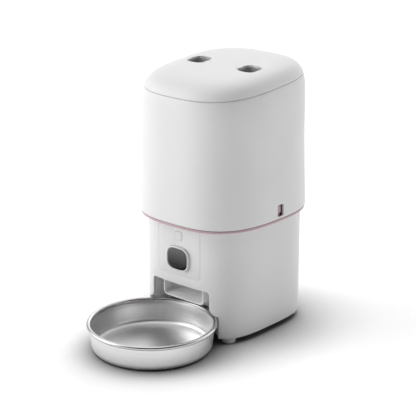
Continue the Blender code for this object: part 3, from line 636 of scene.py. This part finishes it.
def make_camera_module():
    """Raised bezel with a soft lip, and the dark window with its ring and sensor dot."""
    half_x, half_z = CAMERA_HIGH.x, (CAMERA_HIGH.z - CAMERA_LOW.z) / 2
    front, back = CAMERA_LOW.y, CAMERA_HIGH.y
    lip = 1.0
    outside = [(lip - lip * math.sin(t), front + lip - lip * math.cos(t))
               for t in (math.radians(15 * i) for i in range(1, 7))]
    inside = [(1.7, back), (1.7, front + 1.2), (1.45, front + 0.35), (1.1, front)]
    rings = front_plate(half_x, half_z, BEZEL_POWER, outside + [(0.0, back)] + inside, CAMERA_Z)
    settle(new_object("bezel_ring", skin(rings, closed=True), sharp=50), WHITE, "base",
           "white_shell", "camera_bezel")

    glass_low, glass_high = box_mm("camera_glass")
    face = glass_low.y
    crown = [(0.0, glass_high.y), (0.0, face + 0.55), (0.12, face + 0.3), (0.5, face + 0.12),
             (3.0, face + 0.04), (7.0, face)]
    plate = front_plate(glass_high.x, (glass_high.z - glass_low.z) / 2, BEZEL_POWER, crown,
                        CAMERA_Z)
    settle(new_object("window_plate", skin(plate), sharp=60), GLASS, "base",
           "dark_glass", "camera_glass")

    dot_radius, dot_rise = 1.3, 7.2
    dot = front_plate(dot_radius, dot_radius, 2.0,
                      [(0.0, face - 0.02), (0.4, face - 0.12), (0.8, face - 0.02)],
                      CAMERA_Z + dot_rise, 32)
    settle(new_object("sensor_dot", skin(dot)), GREY, "base", "grey_part")


def make_button():
    """Cap with a generic raised ring, and its hidden flange."""
    front, back = BUTTON_LOW.y, BUTTON_HIGH.y
    steps = [(0.9, front), (0.25, front + 0.12), (0.0, front + 0.5), (0.0, back - 1.1)]
    flange = [(-1.6, back - 1.1), (-1.6, back)]
    rings = front_plate(CAP_HALF, CAP_HALF, CAP_POWER, steps + flange, BUTTON_Z)
    settle(new_object("button_cap", skin(rings), sharp=50), WHITE, "feed_button",
           "white_shell", "feed_button")

    ring_radius, half_width, rise = 3.0, 0.38, 0.25
    rows = []
    for i in range(48):
        angle = 2 * math.pi * i / 48
        rows.append([(math.cos(angle) * (ring_radius + half_width * math.cos(t)),
                      front - 0.02 + rise - rise * math.sin(t),
                      BUTTON_Z + math.sin(angle) * (ring_radius + half_width * math.cos(t)))
                     for t in (2 * math.pi * k / 10 for k in range(10))])
    settle(new_object("button_ring", skin(rows, closed=True), sharp=80), WHITE_PART,
           "feed_button", "white_shell")


def make_feet():
    """Rubber pads with a rounded sole and a slightly hollow middle."""
    for corner in ("front_left", "front_right", "rear_left", "rear_right"):
        low, high = box_mm(f"foot_{corner}")
        centre = (mid(low.x, high.x), mid(low.y, high.y))
        radius = (high.x - low.x) / 2
        profile = [(0, 0.35), (radius - 3.4, 0.35), (radius - 2.8, 0.0)]
        profile += arc(radius - 1.9, 1.2, 1.2, -90, -8, 5)
        profile += [(radius - 0.35, 3.6), (radius, 4.6), (radius, high.z - 0.4),
                    (radius - 0.4, high.z), (0, high.z)]
        piece = new_object(f"foot_pad_{corner}", turned(profile, 64, centre))
        settle(piece, FOOT, "base", "foot", f"foot_{corner}")


# ---------------------------------------------------------------- bowl

def make_bowl():
    """Spun sheet with a rounded inside corner, a faint floor ring and a rolled, polished rim whose
    darker colour is painted shade.
    """
    outer = BOWL_HIGH.x - BOWL_BEAD - 1.0
    foot, corner, sheet = outer - 2.0, 8.0, 0.9
    rim_z = BOWL_HIGH.z - BOWL_BEAD
    rim_radius = BOWL_HIGH.x - BOWL_BEAD
    outside = [(0, 0.6), (foot - corner - 6, 0.6), (foot - corner - 3, 0.0)]
    outside += arc(foot - corner, corner, corner, -90, 0, 10)
    outside += [(foot + (outer - foot) * s, corner + (rim_z - BOWL_BEAD - corner) * s)
                for s in (0.33, 0.66, 1.0)]
    bead = arc(rim_radius, rim_z, BOWL_BEAD, -62, 206, 20)
    inside = [(outer - sheet - 2.0 * (1 - s), corner + (rim_z - BOWL_BEAD - corner) * s)
              for s in (1.0, 0.66, 0.33)]
    inside += arc(foot - corner, corner, corner - sheet, 0, -90, 10)
    inside += [(foot - corner - 3, sheet), (foot - corner - 8, sheet + 0.5),
               (foot - corner - 11, sheet + 0.6), (20, sheet + 0.6), (0, sheet + 0.6)]
    made = turned(outside + bead + inside, 192, (BOWL_CENTRE.x, BOWL_CENTRE.y))
    piece = new_object("steel_bowl", made, sharp=60)
    settle(piece, STEEL, "bowl", "bowl_steel", "bowl")
    piece.data.materials.append(RIM_STEEL_PAINTED_DARK)
    # The bead's faces take the darker rim steel: painted shade along the rim.
    edge = (rim_z - BOWL_BEAD * 0.95) * MM
    for face in piece.data.polygons:
        face.material_index = 1 if face.center.z > edge else 0


# ---------------------------------------------------------------- stage

def make_floor():
    """White paper with a painted glow away from what stands on it, and a painted contact shadow
    near and under it.
    """
    half_size, drop, shadow_reach = 6000.0, 0.0002, 0.11
    builder = bmesh.new()
    bmesh.ops.create_grid(builder, x_segments=2, y_segments=2, size=half_size)
    floor = new_object("floor", builder)
    floor.location.z = -drop
    look = Look("floor_paper_painted_shade", Roughness=0.9)
    near = look.nodes.new("ShaderNodeAmbientOcclusion")
    near.inputs["Distance"].default_value = shadow_reach
    near.samples = 12
    open_sky = near.outputs["AO"]
    # Painted contact shadow: the paper's colour darkens from 0.94 to 0.12 where ambient occlusion
    # finds something within reach.
    look.colour(look.ramp(open_sky, (0.12, 0.12, 0.12), (0.94, 0.94, 0.94), 0.25, 0.92))
    look.shader.inputs["Emission Color"].default_value = (1, 1, 1, 1)
    look.shader.inputs["Specular IOR Level"].default_value = 0.1
    # Painted glow: the paper gives off light of up to 0.2 where it is open, and none close to what
    # stands on it.
    painted_glow = look.nodes.new("ShaderNodeMath")
    painted_glow.operation = "POWER"
    painted_glow.inputs[1].default_value = 4.0
    look.links.new(open_sky, painted_glow.inputs[0])
    look.links.new(look.spread(painted_glow.outputs["Value"], 0.0, 0.2),
                   look.shader.inputs["Emission Strength"])
    floor.data.materials.append(look.material)


# Soft lights round the feeder: direction towards the light, how tight it is, how strong
LIGHTS = [((-0.8, -0.6, 0.3), 8.0, 3.5),       # key, front left
          ((-0.6, -0.6, 0.9), 8.0, 0.95),      # its upper part
          ((0.0, 0.0, 1.0), 8.0, 1.35),        # overhead
          ((0.0, 1.0, 0.4), 4.0, 1.55),        # behind
          ((-0.7, 0.7, 0.4), 4.0, 0.8),        # behind, left
          ((0.7, 0.7, 0.3), 8.0, 0.5)]         # behind, right


def make_studio():
    """The room: broad soft lights painted on the world by direction."""
    scene = bpy.context.scene
    scene.view_settings.view_transform = "Standard"      # the paper stays white
    world = bpy.data.worlds.new("studio")
    scene.world = world
    world.use_nodes = True
    nodes, links = world.node_tree.nodes, world.node_tree.links
    view = nodes.new("ShaderNodeTexCoord").outputs["Generated"]
    total = None
    for axis, tightness, strength in LIGHTS:
        facing = nodes.new("ShaderNodeVectorMath")
        facing.operation = "DOT_PRODUCT"
        facing.inputs[1].default_value = Vector(axis).normalized()
        links.new(view, facing.inputs[0])
        value = facing.outputs["Value"]
        for operation, amount in (("MAXIMUM", 0.0), ("POWER", tightness), ("MULTIPLY", strength)):
            step = nodes.new("ShaderNodeMath")
            step.operation = operation
            step.inputs[1].default_value = amount
            links.new(value, step.inputs[0])
            value = step.outputs["Value"]
        if total:
            plus = nodes.new("ShaderNodeMath")
            links.new(total, plus.inputs[0])
            links.new(value, plus.inputs[1])
            value = plus.outputs["Value"]
        total = value
    back = nodes["Background"]
    back.inputs["Color"].default_value = (1, 1, 1, 1)
    links.new(total, back.inputs["Strength"])


def make_camera():
    """The main view, set as azimuth, elevation, distance and aim (metres and degrees)."""
    azimuth, elevation, distance = math.radians(39.38), math.radians(18.43), 1.7729
    lens, sensor = 125.42, 36.0
    aside, height = 0.0344, 0.1416
    swing = -0.03015             # the aim is turned a little to the left of the target
    back = Vector((math.sin(azimuth) * math.cos(elevation),
                   -math.cos(azimuth) * math.cos(elevation), math.sin(elevation)))
    right = Vector((math.cos(azimuth), math.sin(azimuth), 0.0))
    target = right * aside + Vector((0.0, CENTRE_Y * MM, height))
    data = bpy.data.cameras.new("camera")
    data.lens = lens
    data.sensor_width = sensor
    camera = bpy.data.objects.new("camera", data)
    bpy.context.collection.objects.link(camera)
    camera.location = target + back * distance
    camera.rotation_mode = "QUATERNION"
    camera.rotation_quaternion = (-back + right * swing).to_track_quat("-Z", "Y")
    bpy.context.scene.camera = camera


make_camera()
dress_cad_nodes()
make_housing()
make_lid()
make_wells()
make_tray()
make_base()
make_panel()
make_camera_module()
make_button()
make_feet()
make_bowl()
make_floor()
make_studio()
